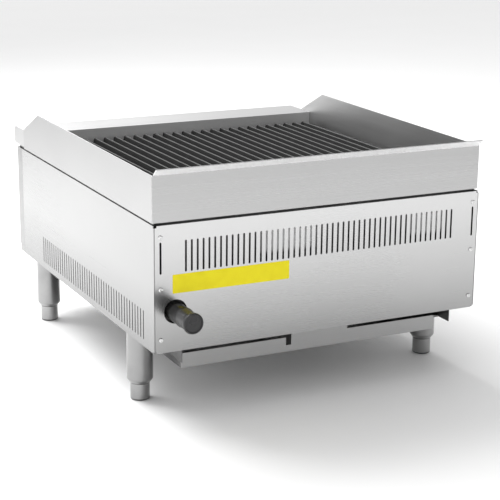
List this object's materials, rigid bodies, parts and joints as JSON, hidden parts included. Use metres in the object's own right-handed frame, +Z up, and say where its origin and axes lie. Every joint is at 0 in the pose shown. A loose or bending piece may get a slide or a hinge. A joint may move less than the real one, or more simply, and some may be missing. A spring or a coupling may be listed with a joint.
{
  "type": "countertop gas charbroiler",
  "caption": "Countertop gas radiant charbroiler with barred cast grate, splash guards, vented stainless body, sliding drip tray, gas inlet at the rear and levelling legs.",
  "frame": {"origin": "on the floor under the centre of the object's box", "axes": "+Z up, -Y towards the operator and the knobs, +X to the operator's right"},
  "size_m": [0.61, 0.803, 0.421],
  "materials": {
    "stainless_sheet": "brushed satin",
    "tray_sheet": "satin",
    "aluminised_sheet": "matte aluminised sheet",
    "grate_iron": "seasoned cast iron with rubbed bar tops",
    "radiant_iron": "sand-cast",
    "burner_iron": "sand-cast",
    "zinc_fastener": "bright zinc plate",
    "black_pipe": "black lacquered steel pipe",
    "brass": "machined",
    "spindle_steel": "turned",
    "tube_aluminium": "drawn",
    "pilot_steel": "pressed",
    "knob_plastic": "satin black phenolic",
    "cap_plastic": "satin black moulded",
    "yellow_label": "printed vinyl, plain",
    "leg_steel": "polished, nickel plated",
    "foot_steel": "turned, nickel plated"
  },
  "bodies": {
    "chassis": {"back_splash": "stainless_sheet", "burner_orifices": "brass", "control_panel": "stainless_sheet", "cross_members": "aluminised_sheet", "firebox_angles": "aluminised_sheet", "firebox_bulkhead": "aluminised_sheet", "firebox_rear_wall": "aluminised_sheet", "front_ledge": "stainless_sheet", "grate_supports": "aluminised_sheet", "inlet_coupling": "black_pipe", "inlet_elbow": "black_pipe", "inlet_nipple": "black_pipe", "inlet_pipe": "black_pipe", "left_base_channel": "aluminised_sheet", "left_burner": "burner_iron", "left_firebox_liner": "aluminised_sheet", "left_front_leg": "leg_steel", "left_gas_valve": "brass", "left_rear_leg": "leg_steel", "left_side_panel": "stainless_sheet", "left_splash_guard": "stainless_sheet", "leg_bolts": "zinc_fastener", "lower_front_rail": "aluminised_sheet", "manifold_brackets": "aluminised_sheet", "manifold_pipe": "black_pipe", "neck_frame": "aluminised_sheet", "pilot_burners": "pilot_steel", "pilot_tubes": "tube_aluminium", "pilot_valves": "brass", "radiant_1": "radiant_iron", "radiant_2": "radiant_iron", "radiant_3": "radiant_iron", "radiant_4": "radiant_iron", "rear_label": "yellow_label", "rear_panel": "stainless_sheet", "rear_panel_screws": "zinc_fastener", "right_base_channel": "aluminised_sheet", "right_burner": "burner_iron", "right_firebox_liner": "aluminised_sheet", "right_front_leg": "leg_steel", "right_gas_valve": "brass", "right_rear_leg": "leg_steel", "right_side_panel": "stainless_sheet", "right_splash_guard": "stainless_sheet", "tray_rails": "aluminised_sheet"},
    "drip_tray": {"drip_tray": "tray_sheet", "drip_tray_handle": "tray_sheet"},
    "left_knob": {"left_knob": "knob_plastic", "left_valve_spindle": "spindle_steel"},
    "right_knob": {"right_knob": "knob_plastic", "right_valve_spindle": "spindle_steel"},
    "inlet_cap": {"inlet_cap": "cap_plastic"},
    "grate_section_1": {"grate_section_1": "grate_iron"},
    "grate_section_2": {"grate_section_2": "grate_iron"},
    "grate_section_3": {"grate_section_3": "grate_iron"},
    "grate_section_4": {"grate_section_4": "grate_iron"},
    "left_front_foot": {"left_front_foot": "foot_steel"},
    "left_rear_foot": {"left_rear_foot": "foot_steel"},
    "right_front_foot": {"right_front_foot": "foot_steel"},
    "right_rear_foot": {"right_rear_foot": "foot_steel"}
  },
  "joints": [
    {"name": "tray_slide", "type": "slide", "parent": "chassis", "child": "drip_tray", "axis": [0, -1, 0], "range_m": [0, 0.45]},
    {"name": "grate_1_lift", "type": "slide", "parent": "chassis", "child": "grate_section_1", "axis": [0, 0, 1], "range_m": [0, 0.15]},
    {"name": "grate_2_lift", "type": "slide", "parent": "chassis", "child": "grate_section_2", "axis": [0, 0, 1], "range_m": [0, 0.15]},
    {"name": "grate_3_lift", "type": "slide", "parent": "chassis", "child": "grate_section_3", "axis": [0, 0, 1], "range_m": [0, 0.15]},
    {"name": "grate_4_lift", "type": "slide", "parent": "chassis", "child": "grate_section_4", "axis": [0, 0, 1], "range_m": [0, 0.15]},
    {"name": "left_knob_turn", "type": "hinge", "parent": "chassis", "child": "left_knob", "pos_m": [-0.12, -0.38, 0.222], "axis": [0, -1, 0], "range_deg": [0, 90]},
    {"name": "right_knob_turn", "type": "hinge", "parent": "chassis", "child": "right_knob", "pos_m": [0.12, -0.38, 0.222], "axis": [0, -1, 0], "range_deg": [0, 90]},
    {"name": "left_front_foot_screw", "type": "slide", "parent": "chassis", "child": "left_front_foot", "axis": [0, 0, -1], "range_m": [0, 0.025]},
    {"name": "left_rear_foot_screw", "type": "slide", "parent": "chassis", "child": "left_rear_foot", "axis": [0, 0, -1], "range_m": [0, 0.025]},
    {"name": "right_front_foot_screw", "type": "slide", "parent": "chassis", "child": "right_front_foot", "axis": [0, 0, -1], "range_m": [0, 0.025]},
    {"name": "right_rear_foot_screw", "type": "slide", "parent": "chassis", "child": "right_rear_foot", "axis": [0, 0, -1], "range_m": [0, 0.025]},
    {"name": "inlet_cap_pull", "type": "slide", "parent": "chassis", "child": "inlet_cap", "axis": [0, 1, 0], "range_m": [0, 0.06]}
  ]
}
